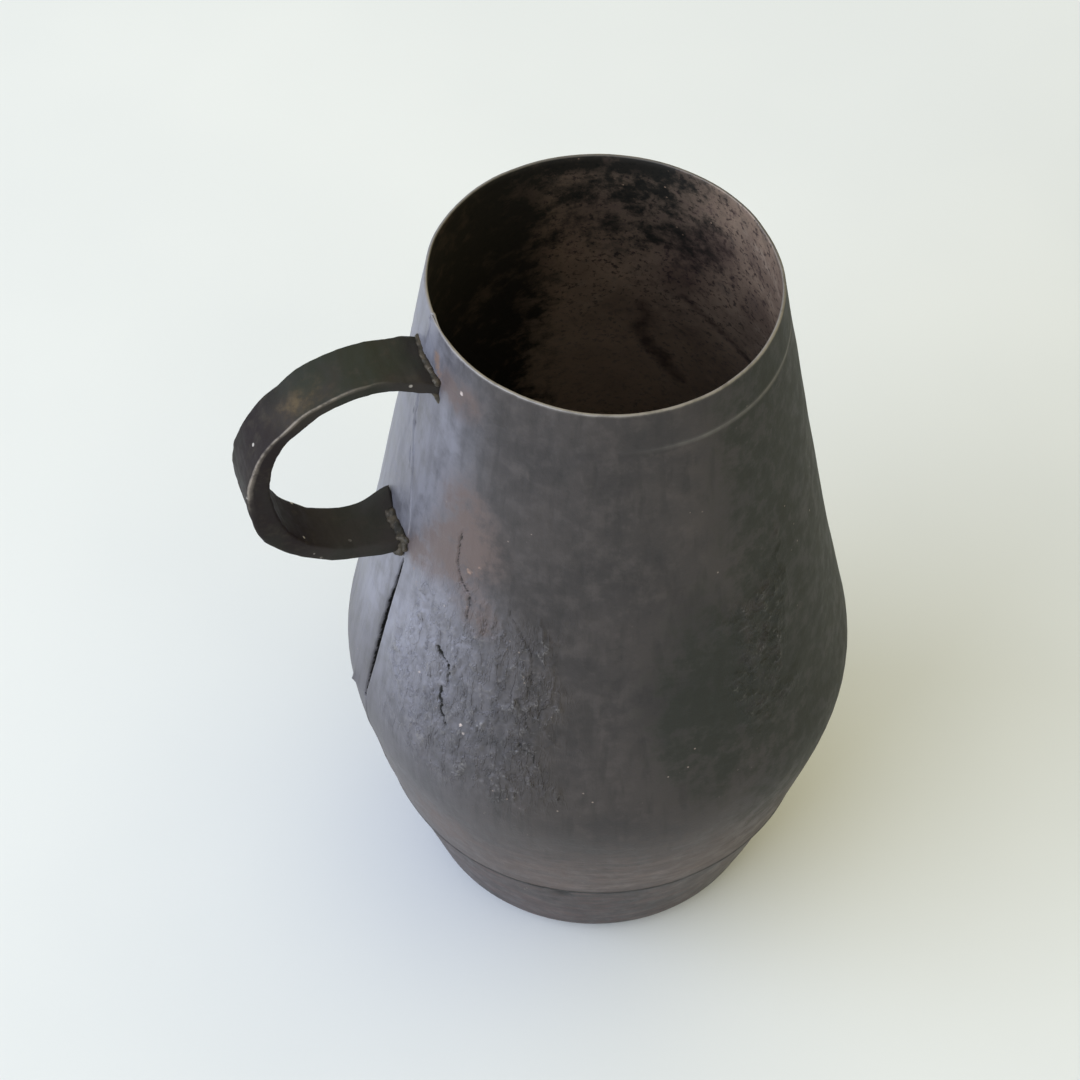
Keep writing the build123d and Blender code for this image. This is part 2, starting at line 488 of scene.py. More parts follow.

# %% [markdown]
# ## Cracks, placed one by one
# A few large cracks run through the flaked skin and beside the seam. Each is placed by a handful of points,
# because the eye knows these few lines as part of this mug, and each is roughened by noise afterwards.

# %% Crack lines, each (how open, list of (degrees from the handle, height in mm))
cracks = [
    (0.62, [(29, 152), (29, 145), (31, 139), (34, 137), (35, 134), (34, 129)]),
    (0.88, [(27, 117), (29, 115), (32, 112), (32, 107), (30, 106), (31, 100), (33, 96)]),
    (0.5, [(46, 138), (48, 135), (52, 130), (54, 125), (53, 115), (51, 113), (53, 108), (55, 103)]),
    (0.7, [(52, 100), (56, 97), (56, 95)]),
    (0.2, [(55, 138), (57, 134), (59, 132)]),
    (0.1, [(59, 126), (60, 119), (59, 114), (56, 111), (58, 107), (61, 102)]),
    (0.2, [(45, 121), (46, 116), (48, 114)]),
    (0.4, [(46, 108), (47, 104)]),
    (0.2, [(25, 118), (24, 113), (23, 105), (25, 103), (27, 99), (25, 92), (26, 87)]),
    (0.1, [(43, 132), (39, 128), (38, 124), (35, 123)]),
    (0.1, [(119, 137), (119, 134), (115, 133), (113, 129), (110, 125), (109, 121)]),
    (0.1, [(116, 120), (115, 117)]),
    (0.2, [(108, 117), (106, 114)]),
    (0.2, [(125, 146), (126, 142), (123, 140), (125, 134)]),
    (0.7, [(0, 172), (-1, 168), (1, 165)]),
    (0.7, [(3, 160), (2, 157), (4, 155)]),
]


def line_distance(azimuth, level, path):
    """Distance in mm from each point to a line on the body, and which side of it the point lies on."""
    scale = math.radians(1) * drum
    best = np.full(azimuth.shape, np.inf)
    side = np.zeros(azimuth.shape)
    for (a0, z0), (a1, z1) in zip(path, path[1:]):
        step = np.array([(a1 - a0) * scale, z1 - z0])
        dx = (azimuth - a0) * scale
        dz = level - z0
        along = np.clip((dx * step[0] + dz * step[1]) / (step @ step), 0, 1)
        off = np.hypot(dx - along * step[0], dz - along * step[1])
        side = np.where(off < best, np.sign(dx * step[1] - dz * step[0]), side)
        best = np.minimum(best, off)
    return best, side


print(len(cracks), "cracks are placed by hand")

# %% [markdown]
# ## Flaking
# Long heating and drying has lifted the dark skin of the copper in two places: a wide patch on the front
# left, and a narrow one on the right. Thin flakes stand up in long upright ridges. A ridge runs where a
# noise that is stretched upright passes zero, and a second noise breaks it, so that it wanders and stops as
# the edge of a real flake does. Carving each flake by hand would take days and look no truer.

# %% Flaked skin
ridge_height = 0.75
crumb_height = 0.34
plate_height = 0.30
crack_depth = 0.45
crack_width = 0.33
crack_lip = 0.34


def flaked_patch(azimuth, level):
    """Mask of the two flaked places, with ragged outlines."""
    edge = 8 * lumps(azimuth, level, 10, 12, 11)
    wide = soft_range(azimuth + edge, (8, 20), (56, 68)) * soft_range(level + edge, (70, 88), (124, 146))
    narrow = soft_range(azimuth + edge, (101, 109), (120, 129))
    narrow = narrow * soft_range(level + edge, (90, 102), (130, 148))
    return np.maximum(wide, 0.8 * narrow)


def flaking(azimuth, level):
    """Relief in mm of the flaked skin, with masks for the patch, the flakes' edges, where a highlight is
    painted, and open cracks, where shade is painted.
    """
    patch = flaked_patch(azimuth, level)
    wander = 1.6 * lumps(azimuth, level, 2.6, 2.2, 12) + 0.9 * lumps(azimuth, level, 1.1, 1.0, 18)
    bent = azimuth + wander
    patchy = soft_step(lumps(azimuth, level, 7, 11, 14), -0.2, 0.25)
    broken = soft_step(lumps(azimuth, level, 2.6, 4.0, 16), -0.25, 0.15)
    ridge = bell(lumps(bent, level, 2.7, 10, 13), 0.15) * patchy * (0.15 + 0.85 * broken)
    crumbs = bell(lumps(bent, level, 1.9, 4.2, 19), 0.17) * (1 - 0.5 * patchy)
    plates = soft_step(lumps(bent, level, 5.0, 12, 15), -0.05, 0.05)
    relief = patch * (ridge_height * ridge + crumb_height * crumbs + plate_height * plates)
    opened = np.zeros(azimuth.shape)
    rag = 0.22 * lumps(azimuth, level, 0.9, 1.1, 17)
    for openness, path in cracks:
        off, side = line_distance(azimuth + 0.6 * wander, level, path)
        strength = openness * soft_step(lumps(0, level + 50 * path[0][0], 5, 6, 20), -0.9, -0.25)
        opened = np.maximum(opened, strength * bell(off + rag, crack_width))
        relief = relief + crack_lip * bell(off + rag - 0.55, 0.34) * (side > 0)
    relief = relief - crack_depth * opened
    edges = np.clip(patch * np.maximum(ridge, 0.6 * crumbs), 0, 1)
    return relief, patch, edges, opened


print("the highest ridges stand", ridge_height + plate_height, "mm proud")

# %% [markdown]
# ## The outer skin's other marks
# A line was scribed round the neck as a guide. A sharp nib of metal stands out where the open seam ends,
# shallow pits are scattered all over, and the wall's lower edge turns out in a slight lip. Each is a small
# rise or fall of the skin, and they are simply added up.

# %% Marks
scribed_height = 186.8
scribed_width = 0.45
scribed_depth = 0.10
nib_height = 76.0
nib_azimuth = -2.0
nib_rise = 1.5
pit_depth = 0.10
lip_rise = 0.22


def turn_apart(azimuth, centre):
    """Degrees from a direction, -180 to 180, the shorter way round."""
    return (azimuth - centre + 180) % 360 - 180


def marks(azimuth, level):
    """Relief in mm of the scribed line, the nib, the pits and the lip at the wall's foot."""
    wobble = 0.25 * lumps(azimuth, level, 20, 40, 21)
    line = -scribed_depth * bell(level - scribed_height + wobble, scribed_width)
    around = turn_apart(azimuth, nib_azimuth)
    nib = nib_rise * np.exp(-np.hypot(around * 1.05, (level - nib_height) * 0.9) / 1.2)
    pits = -pit_depth * soft_step(lumps(azimuth, level, 2.6, 2.6, 22), 0.42, 0.7)
    foot_lip = lip_rise * bell(level - band_height, 0.9)
    return line + nib + pits + foot_lip


at_nib = marks(np.array([nib_azimuth]), np.array([nib_height]))
print("the nib stands", round(float(at_nib[0]), 2), "mm proud")

# %% [markdown]
# ## The body wall
# The outer skin goes on first, row by row from the band to the rim, then a few rows that turn over the rim,
# then the coarser inner skin. Near the seam the sheet thins, the front edge lies on top, and the back edge
# dives beneath it. The numbers that the finish needs later are painted on the points as named attributes.

# %% The lap
def seam_shift(turn, level):
    """How far, in degrees, a column leans so that the strip's ends follow the seam line."""
    from_seam = np.minimum(np.abs(turn - seam_azimuth), np.abs(turn - turn_end))
    hold = np.where(turn > turn_end, 1.0, bell(from_seam, 9))
    return (seam_line(level) - seam_azimuth) * hold


closed_width = 0.3
gape_width = 2.1
gape_depth = 2.2


def lap_offset(turn, level):
    """How far in the outer skin lies at the seam, in mm, and a mask of the gap's own walls, where shade is
    painted.
    """
    ahead = (turn - seam_azimuth) * degree_mm(level)
    behind = (turn_end - turn) * degree_mm(level)
    opening = gape(level)
    raggedness = 1 + 0.30 * lumps(0, level, 5, 5, 31) + 0.12 * lumps(0, level, 5, 1.8, 32)
    width = (closed_width + gape_width * opening) * raggedness
    depth = seam_edge + 0.05 + gape_depth * opening
    lip = opening * (0.20 * bell(ahead, 3.5) - 0.12 * bell(ahead - 0.5, 0.5))
    dive = depth * (1 - soft_step(behind, 0.72 * width, 0.12 + width))
    dip = 0.34 * opening * bell(np.maximum(behind, 0), 8)
    return np.where(turn < 180, lip, dive + dip), np.where(turn < 180, 0, soft_step(dive, 0.35, 0.8))


def sheet_thickness(turn, level):
    """The sheet, thinned toward its two lapped edges."""
    from_edge = np.minimum(turn - seam_azimuth, lap_end - turn) * degree_mm(level)
    thin_edge = seam_edge + 0.3 * gape(level)
    return thin_edge + (sheet - thin_edge) * soft_step(from_edge, 0, 7)


deepest, _ = lap_offset(np.array([turn_end]), np.array([(gape_low + gape_high) / 2]))
print("halfway up the gape the lower edge lies", round(float(deepest[0]), 1), "mm in")


# %% Body wall points
def wall_skin(turns, section):
    """Points of one skin, and its masks. section is (rows, 2): height and share of the thickness, 0 outer."""
    turn, level = np.meshgrid(turns, section[:, 0])
    share = np.broadcast_to(section[:, 1][:, None], turn.shape)
    azimuth = turn + seam_shift(turn, level)
    wrapped = turn_apart(azimuth, 0)
    drop, in_gap = lap_offset(turn, level)
    inset = drop + share * sheet_thickness(turn, level)
    outer = share == 0
    relief, patch, edges, opened = flaking(wrapped, level)
    proud = np.where(outer, relief + marks(wrapped, level), 0)
    points = settle(flank_radius(level, inset), azimuth, level)
    outward = np.radians(azimuth + 180)
    points[..., :2] += np.stack([np.cos(outward), np.sin(outward)], -1) * proud[..., None]
    # The last mask is painted shade: open cracks and the slit's walls are painted near black.
    return points, wrapped, level, patch * outer, edges * outer, np.maximum(opened, in_gap) * outer


foot_round = [(band_height, 0.3), (band_height + 0.05, 0.08)]
rim_round = [(height - 0.12, 0.1), (height - 0.02, 0.28), (height, 0.5)]
rim_inside = [(height - 0.02, 0.72), (height - 0.12, 0.9)]
outer_section = np.array(foot_round + [(z, 0) for z in rows] + rim_round)
inner_section = np.array(rim_inside + [(z, 1) for z in inner_rows] + [(band_height, 0.95)])
outer_skin = wall_skin(columns, outer_section)
inner_skin = wall_skin(inner_columns, inner_section)
print("outer skin", outer_skin[0].shape[:2], "inner skin", inner_skin[0].shape[:2])


# %% Body wall mesh
def join_skins(outer, inner):
    """Points and faces of the sheet: the outer grid runs up, the inner one down, and all edges are closed."""
    up, around = outer.shape[:2]
    inner_down, inner_around = inner.shape[:2]
    start = up * around
    outer_ids = np.arange(start).reshape(up, around)
    inner_ids = start + np.arange(inner_down * inner_around).reshape(inner_down, inner_around)[::-1]
    faces = grid_faces(0, up, around) + grid_faces(start, inner_down, inner_around)
    faces += stitch(outer_ids[-1], inner_ids[-1], columns, inner_columns)
    faces += stitch(inner_ids[0], outer_ids[0], inner_columns, columns)
    outer_up = outer[:, 0, 2]
    inner_up = inner[::-1, 0, 2]
    faces += stitch(outer_ids[:, 0], inner_ids[:, 0], outer_up, inner_up)
    faces += stitch(inner_ids[:, -1], outer_ids[:, -1], inner_up, outer_up)
    return np.concatenate([outer.reshape(-1, 3), inner.reshape(-1, 3)]), faces


wall = make_piece("body_sheet", *join_skins(outer_skin[0], inner_skin[0]))
azimuths, levels, patch, flake_highlights, opened = [
    np.concatenate([a.ravel(), b.ravel()]) for a, b in zip(outer_skin[1:], inner_skin[1:])]
first_inside = outer_skin[1].size
within = np.arange(len(azimuths)) >= first_inside

# %% [markdown]
# ## Painting where the colours lie
# Age has coloured this mug unevenly: brown blushes where the solder's heat reached, and stains inside. Light
# and
# shade are painted in as well: a bluish painted sheen of the window light on the side by the handle, and
# painted shade in open cracks, in the slit, and inside the mug on the side by the handle and deep down. Soft
# masks for these are worked out at each point of the mesh and stored as attributes. The finishes later break
# up their edges with noise, so the masks themselves may be simple.

# %% Placed spots, each (degrees from the handle, height in mm, radius in mm, strength)
heat_blush = [
    (31, 149, 11, 0.9), (38, 131, 6, 0.8), (22, 141, 8, 0.6), (27, 163, 9, 0.5), (15, 187, 6, 0.8),
    (25, 187, 5, 0.6), (12, 136, 5, 0.8), (29, 51, 13, 0.6), (60, 44, 14, 0.4), (95, 50, 12, 0.3),
    (200, 150, 16, 0.4), (260, 60, 18, 0.5)]
pale_patches = [
    (3, 172, 15, 0.7), (13, 158, 12, 0.6), (12, 176, 9, 0.4), (-3, 120, 20, 0.3), (118, 52, 10, 0.35)]
bare_copper = [
    (6, 190.5, 1.9, 0.9), (8, 187.5, 2.0, 0.75), (10, 185, 1.6, 0.5), (33, 143, 1.1, 0.8),
    (36, 146, 0.9, 0.6), (34, 133, 1.5, 0.4), (14, 131, 1.0, 0.5), (16, 128, 1.2, 0.5)]
bright_specks = [
    (21, 188.6, 0.7, 1.0), (37, 98, 0.55, 1.0), (38, 96, 0.5, 0.9), (23, 105, 0.5, 0.8),
    (27, 129, 0.5, 0.7), (30, 99, 0.5, 0.6), (12, 85, 0.5, 0.6), (41, 102, 0.5, 0.6)]
inside_clouds = [
    (-137, 168, 12, 1.0), (-150, 176, 8, 0.8), (-133, 152, 8, 0.9), (-166, 160, 9, 0.8),
    (-108, 180, 9, 0.8), (-96, 168, 8, 0.7), (-104, 152, 7, 0.5)]
inside_trails = [
    ([(-121, 139), (-123, 134), (-120, 128), (-124, 120), (-131, 109)], 3.2),
    ([(-134, 147), (-142, 141), (-150, 137), (-156, 133)], 1.7)]
print("spots placed on the skin:", sum(map(len, (heat_blush, pale_patches, bare_copper, bright_specks))))


# %% Painted masks
def spots(azimuth, level, placed):
    """Sum of soft round spots, each (degrees, height, radius in mm, strength)."""
    total = np.zeros(azimuth.shape)
    for place, rise, size, strength in placed:
        off = np.hypot(turn_apart(azimuth, place) * degree_mm(level), level - rise)
        total = total + strength * bell(off, size)
    return np.clip(total, 0, 1)


def near(azimuth, centre, full, gone):
    """1 within `full` degrees of a direction, fading to 0 at `gone` degrees, all the way round."""
    return 1 - soft_step(np.abs(turn_apart(azimuth, centre)), full, gone)


def outside_masks(azimuth, level):
    """The bluish painted sheen on the side by the handle, with pale patches, dimmed by painted shade beside
    the slit;
    the scrubbed foot, the green side, the scribed line and the placed spots.
    """
    # Painted sheen: the side by the handle faces the window light and is painted a lighter blue-grey. Pale
    # patches are added to it.
    higher_up = 22 * soft_step(level, 125, 160)
    handle_side = soft_step(azimuth, -110, -40) * (1 - soft_step(azimuth + higher_up, 10, 62))
    sheen_and_pale_patches = handle_side * (0.2 + 0.8 * soft_step(level, 56, 122)) + spots(azimuth, level, pale_patches)
    # Painted shade: beside the open slit the back sheet dips in, and the sheen is painted darker there.
    behind = (seam_line(level) - azimuth) * degree_mm(level)
    shaded = gape(level) * (behind > 0) * bell(behind, 5)
    green = bell(azimuth - 100, 22) * bell(level - 110, 40)
    return {
        "sheen_and_pale_patches": 0.93 * sheen_and_pale_patches * (1 - 0.65 * shaded),
        "scrub": bell(level - 42, 18) * (0.45 + 0.55 * bell(azimuth - 80, 45)),
        "green": np.maximum(green, 0.95 * near(azimuth, 145, 16, 66)),
        "scribe": bell(level - scribed_height, scribed_width) * soft_step(azimuth, 70, 115),
        "blush": spots(azimuth, level, heat_blush),
        "copper": spots(azimuth, level, bare_copper),
        "speck": spots(azimuth, level, bright_specks),
    }


def inside_masks(azimuth, level):
    """Painted shade by the handle, where the window light from the left does not reach, and deep down; a dark
    band under the rim; and the stains.
    """
    # Painted shade: the inner wall on the handle's side faces away from the window light on the left, most of
    # all higher up.
    shade_and_dark_band = soft_range(azimuth, (-112, -80), (60, 120))
    shade_and_dark_band = np.maximum(shade_and_dark_band, 0.68 * soft_step(level, 135, 178) * near(azimuth, -70, 58, 110))
    collar = soft_step(level, 184, 193) * (1 - 0.6 * near(azimuth, -172, 8, 48))
    # Painted shade deep down in the mug.
    deep = 1 - soft_step(level, 62, 100)
    shade_and_dark_band = np.maximum(shade_and_dark_band, np.maximum(0.9 * collar, 0.6 * deep))
    stain = 0.8 * spots(azimuth, level, inside_clouds)
    for path, width in inside_trails:
        off, _ = line_distance(azimuth, level, path)
        stain = np.maximum(stain, 0.9 * bell(off, width))
    return {"shade_and_dark_band": shade_and_dark_band, "stain": stain}


def paint_body(piece, azimuth, level, within):
    """Stores the colour masks of the body's skin on a piece. within marks the points of its inner skin."""
    for name, values in outside_masks(azimuth, level).items():
        paint(piece, name, np.clip(values, 0, 1) * ~within)
    for name, values in inside_masks(azimuth, level).items():
        paint(piece, name, values * within)
    front = 0.35 + 0.65 * soft_step(np.cos(np.radians(azimuth - 75)), -0.4, 0.5)
    paint(piece, "rim", soft_step(level, height - 0.45, height - 0.05) * front)


for name, values in (("patch", patch), ("flake_highlight", flake_highlights), ("crack_and_slit_shade", opened)):
    paint(wall, name, values)
paint_body(wall, azimuths, levels, within)
show_paint(wall)

# %% [markdown]
# ## The base pan
# The foot is a shallow pan, raised from its own sheet, that fits up inside the wall and shows as a band under
# it. Its outline is revolved from three runs: the flank, the rounded corner and the floor. The floor of a
# well-used pan is pushed up a little in the middle, which keeps the mug from rocking.

# %% Base pan
pan_columns = 240
floor_rise = 0.9
knock_azimuth = 62
knock_height = 31
knock_size = math.sqrt(6)
knock_depth = 0.014


def pan_outline(inset):
    """(radius, height) of one face of the pan, from its top edge down to the middle of the floor."""
    bend = base_corner + sheet - inset
    flank_end = corner_centre[1] + bend * math.sin(corner_turn)
    flank_levels = np.linspace(band_height + pan_overlap, flank_end, 34)
    flank = [(float(flank_radius(z, inset)), z) for z in flank_levels]
    turns = np.linspace(corner_turn, -math.pi / 2, 12)[1:]
    corner = [(corner_centre[0] + bend * math.cos(t), corner_centre[1] + bend * math.sin(t)) for t in turns]
    floor_run = [(corner_centre[0] * r, inset - sheet) for r in np.linspace(1, 0.02, 24)[1:]]
    return np.array(flank + corner + floor_run)


def pan_face(inset):
    """Grid of points of one face of the pan, worn and dished, and a mask of the knock in its side."""
    outline = pan_outline(inset)
    azimuth = np.arange(pan_columns) * 360 / pan_columns
    turn, radius = np.meshgrid(azimuth, outline[:, 0])
    level = np.broadcast_to(outline[:, 1][:, None], turn.shape)
    points = settle(radius, turn, level)
    on_floor = 1 - soft_step(radius, 20, corner_centre[0])
    beaten = [noise.noise((x / 9, y / 9, 3.3)) for x, y, _ in points.reshape(-1, 3).tolist()]
    points[..., 2] += on_floor * (floor_rise + 0.35 * np.array(beaten).reshape(turn.shape))
    knock = bell(np.hypot(turn - knock_azimuth, (level - knock_height) * 1.3), knock_size)
    points[..., :2] *= (1 - knock_depth * knock)[..., None]
    return points, knock


pan_outer, knock_darkening = pan_face(sheet)
pan_inner, _ = pan_face(2 * sheet)
print("the pan's face has", pan_outer.shape[0], "rings of", pan_columns, "points")

# %% Base pan mesh
rings = len(pan_outer)
pan_first_inside = rings * pan_columns
last_ring = (rings - 1) * pan_columns
pan_faces = grid_faces(0, rings, pan_columns, closed=True, flip=True)
pan_faces += grid_faces(pan_first_inside, rings, pan_columns, closed=True)
for k in range(pan_columns):
    beside = (k + 1) % pan_columns
    pan_faces.append((k, beside, pan_first_inside + beside, pan_first_inside + k))
pan_faces.append([last_ring + k for k in reversed(range(pan_columns))])
pan_faces.append([pan_first_inside + last_ring + k for k in range(pan_columns)])
pan = make_piece("foot_pan", np.concatenate([pan_outer, pan_inner]).reshape(-1, 3), pan_faces)
paint(pan, "knock_darkening", np.concatenate([knock_darkening.ravel(), knock_darkening.ravel()]))

# %% [markdown]
# ## Solder along the seams
# Solder was flowed into the joint under the wall's lower edge, and down the lap behind the handle. Both are
# low, uneven beads. The bead at the band is a ring whose thickness wanders with noise. The lap's bead is a
# thin lens that follows the seam line, and it is missing where the lap has come open.

# %% Base seam bead
bead_columns = 420
bead_sides = 8
azimuth = np.arange(bead_columns) * 360 / bead_columns
size = 0.30 + 0.16 * lumps(azimuth, 34, 4, 4, 41) + 0.10 * lumps(azimuth, 34, 1.8, 2, 42)
bead = []
for side in range(bead_sides):
    turn = 2 * math.pi * side / bead_sides
    inset = 0.82 - size * math.cos(turn) * 0.8
    level = band_height - 0.05 + size * math.sin(turn)
    bead.append(settle(flank_radius(level, inset), azimuth, level))
ids = np.arange(bead_columns * bead_sides).reshape(bead_columns, bead_sides)
ahead = np.roll(ids, -1, 0)
bead_faces = np.stack([ids, ahead, np.roll(ahead, -1, 1), np.roll(ids, -1, 1)], -1).reshape(-1, 4)
base_bead = make_piece("base_bead", np.stack(bead, 1).reshape(-1, 3), bead_faces.tolist())

# %% Side seam bead
bead_across = np.array([-2.2, -1.5, -0.9, -0.45, -0.2, 0.0, 0.2, 0.6, 1.2])
seam_points = []
seam_faces = []
seam_places = []
for low, high in ((band_height + 0.6, gape_low + 1), (gape_high - 1, height - 1.2)):
    wide, level = np.meshgrid(bead_across, np.arange(low, high, 0.5))
    ends = soft_range(level, (low, low + 3), (high - 3, high))
    crown = np.clip(1 - (wide / 2.0) ** 2, 0, 1) * (0.10 + 0.08 * lumps(0, level, 4, 3, 43)) * ends
    spread = 0.8 + 0.35 * lumps(0, level, 4, 5, 44)
    azimuth = seam_line(level) + wide * spread / degree_mm(level)
    sunk = 0.05 - 0.30 * (np.abs(wide) > 1.1)
    top = settle(flank_radius(level, -sunk - crown), azimuth, level)
    under = settle(flank_radius(level, 0.34), azimuth, level)
    over = len(seam_points) + np.arange(level.size).reshape(level.shape)
    below = over + level.size
    seam_points += top.reshape(-1, 3).tolist() + under.reshape(-1, 3).tolist()
    seam_places += 2 * np.stack([azimuth.ravel(), level.ravel()], -1).tolist()
    seam_faces += grid_faces(int(over[0, 0]), *level.shape)
    seam_faces += grid_faces(int(below[0, 0]), *level.shape, flip=True)
    over_edges = [over[-1], over[:, 0], over[0][::-1], over[:, -1][::-1]]
    below_edges = [below[-1], below[:, 0], below[0][::-1], below[:, -1][::-1]]
    for top_edge, low_edge in zip(over_edges, below_edges):
        order = np.arange(len(top_edge))
        seam_faces += stitch(top_edge, low_edge, order, order)
seam_bead = make_piece("side_seam_bead", seam_points, seam_faces)
seam_places = np.array(seam_places)
paint_body(seam_bead, seam_places[:, 0], seam_places[:, 1], np.zeros(len(seam_places), bool))

# %% [markdown]
# ## The strap handle
# The handle is one forged strap: thin where it meets the body, thicker and rounder where the finger hooks
# through. Its side view is two smooth lines, the outside and the inside of the loop, each through a few
# points. A section with rounded corners is carried along them, and each end is cut off where it meets the
# round wall. Two lines are better than one line and a thickness, because the eye judges both edges.

# %% Loop of the strap, each point (mm from the axis, height in mm)
loop_outside = [(36, 183.2), (45.5, 187.5), (58, 189), (72.4, 183.8), (82, 172.2), (84.5, 159.5),
                (81.2, 145.6), (70.5, 135.8), (58, 131.8), (40, 131)]
loop_inside = [(36, 180.2), (46, 184.2), (57, 185.7), (69, 181.8), (77, 173), (79, 160.5),
               (75.6, 147), (66.5, 138.6), (55, 136), (40, 136.6)]


def smooth_line(points, along):
    """A smooth curve through the points. along runs from 0 at the first to 1 at the last."""
    points = np.asarray(points, float)
    padded = np.concatenate([[2 * points[0] - points[1]], points, [2 * points[-1] - points[-2]]])
    spot = np.clip(np.asarray(along, float), 0, 1) * (len(points) - 1)
    span = np.minimum(spot.astype(int), len(points) - 2)
    t = (spot - span)[..., None]
    a, b, c, d = (padded[span + k] for k in range(4))
    return 0.5 * (2 * b + (c - a) * t + (2 * a - 5 * b + 4 * c - d) * t**2 + (3 * b - a - 3 * c + d) * t**3)


def strap_point(along, side, through):
    """A point of the strap: side is mm toward the back edge, through is 0 inside the loop to 1 outside."""
    outside = smooth_line(loop_outside, along)
    inside = smooth_line(loop_inside, along)
    place = inside + (outside - inside) * through[..., None]
    return np.stack([-place[..., 0], side, place[..., 1]], -1)


def to_wall(side, through, from_start):
    """Where along the strap, at one end, it meets the round wall, by halving the stretch again and again."""
    inner, outer = (0.0, 0.35) if from_start else (1.0, 0.65)
    low = np.full(side.shape, inner)
    high = np.full(side.shape, outer)
    for _ in range(30):
        middle = (low + high) / 2
        point = strap_point(middle, side, through)
        outside = np.hypot(point[..., 0], point[..., 1]) > flank_radius(point[..., 2], 0.35)
        low = np.where(outside, low, middle)
        high = np.where(outside, middle, high)
    return (low + high) / 2


top_and_grip = [0.25, 0.5]
thickness = smooth_line(loop_outside, top_and_grip) - smooth_line(loop_inside, top_and_grip)
print("the strap is", np.round(np.linalg.norm(thickness, axis=1), 1), "mm thick at the top and at the grip")

# %% Section of the strap
strap_width = 12.6
half_width = strap_width / 2
edge_round = 0.55
middling_thickness = 4.0
section_step = 0.7


def strap_section():
    """One ring of the strap's section: (share of half the width, through), with rounded corners."""
    thick = middling_thickness
    flat = thick - 2 * edge_round
    ring = []
    for corner_side, corner_through, start in ((1, 1, 0), (-1, 1, 90), (-1, 0, 180), (1, 0, 270)):
        for turn in np.radians(np.linspace(start, start + 90, 5)):
            side = corner_side * (half_width - edge_round) + edge_round * math.cos(turn)
            through = 0.5 + ((corner_through - 0.5) * flat + edge_round * math.sin(turn)) / thick
            ring.append((side / half_width, through))
    full = []
    for (s0, t0), (s1, t1) in zip(ring, ring[1:] + ring[:1]):
        steps = max(1, round(math.hypot((s1 - s0) * half_width, (t1 - t0) * thick) / section_step))
        full += [(s0 + (s1 - s0) * k / steps, t0 + (t1 - t0) * k / steps) for k in range(steps)]
    return np.array(full)


section = strap_section()
print("the section is a ring of", len(section), "points")

# %% [markdown]
# ## The smith's hand on the strap
# A plain sweep would look cast. The strap flares at its upper end, its faces are dished and wavy from the
# hammer, its edges wander, there is a notch in the outer edge, and one corner of the lower end is turned up.
# Each of these is added to the swept points, and fades out toward the soldered ends where it must.

# %% Strap
stations = 230
share, side = np.meshgrid(np.linspace(0, 1, stations), section[:, 0], indexing="ij")
through = np.broadcast_to(section[:, 1], side.shape)
flare = 1 + 0.20 * bell(share, 0.10) + 0.05 * bell(1 - share, 0.06)
ragged = 0.25 * lumps(share * 150, np.sign(side) * 20, 9, 9, 51)
side_mm = side * half_width * flare + ragged * side
start = to_wall(side_mm, through, True)
end = to_wall(side_mm, through, False)
along = start + (end - start) * share
strap_points = strap_point(along, side_mm, through)
outward = strap_point(along, side_mm, through * 0 + 1) - strap_point(along, side_mm, through * 0)
outward /= np.linalg.norm(outward, axis=-1, keepdims=True)

free = soft_range(share, (0, 0.06), (0.94, 1))
dish = -0.25 * (1 - side**2) * (through > 0.5)
hammer = 0.30 * lumps(share * 190, side_mm + 9 * through, 8, 7, 52)
hammer += 0.12 * lumps(share * 190, side_mm + 9 * through, 2.6, 2.6, 53)
notch = -0.7 * bell(share - 0.33, 0.03) * (through > 0.5) * soft_step(side, 0, 1)
sway = 0.5 * lumps(share * 120, 0, 30, 30, 54)
turned_up = 3.6 * soft_step(share, 0.90, 1.0) ** 1.5 * soft_step(side, 0.0, 1.0)
strap_points += outward * ((dish + hammer + notch) * free)[..., None]
strap_points[..., 1] += sway * free
strap_points[..., 2] += turned_up

ring_count = len(section)
strap_faces = grid_faces(0, stations, ring_count, closed=True)
strap_faces.append(list(reversed(range(ring_count))))
strap_faces.append([(stations - 1) * ring_count + j for j in range(ring_count)])
strap = make_piece("strap_handle", strap_points.reshape(-1, 3), strap_faces)

# %% Wear and a highlight painted on the strap
outer_corner = soft_step(-side, 0.95, 0.99) * soft_step(through, 0.80, 0.93)
paint(strap, "edge_wear_and_highlight", outer_corner * soft_range(share, (0.10, 0.3), (0.5, 0.62)))
paint(strap, "grip", soft_range(share, (0.28, 0.4), (0.72, 0.85)))
golden_off = np.hypot((share - 0.30) / 0.05, (side + 0.35) / 0.5)
paint(strap, "golden", bell(golden_off, 1) * (through > 0.6))
show_paint(strap)

# %% [markdown]
# ## Solder at the handle's two ends
# The ends of the strap sit in thick, lumpy solder that was wiped on hot. Such blobs have no edges or
# pattern, so they are made as a heap of small balls laid along the joint, melted together by a voxel remesh
# and smoothed. Whatever would come out inside the mug is pushed back into the thickness of the sheet.

# %% Melting a heap of balls
def keep_outside(mesh):
    """Pushes points that lie deeper than 0.55 mm in the wall back out to there."""
    points = np.zeros(len(mesh.vertices) * 3)
    mesh.vertices.foreach_get("co", points)
    points = points.reshape(-1, 3) / MM
    radius = np.hypot(points[:, 0], points[:, 1])
    push = np.maximum(radius, flank_radius(points[:, 2], 0.55)) / radius
    points[:, :2] *= push[:, None]
    mesh.vertices.foreach_set("co", (points * MM).ravel())


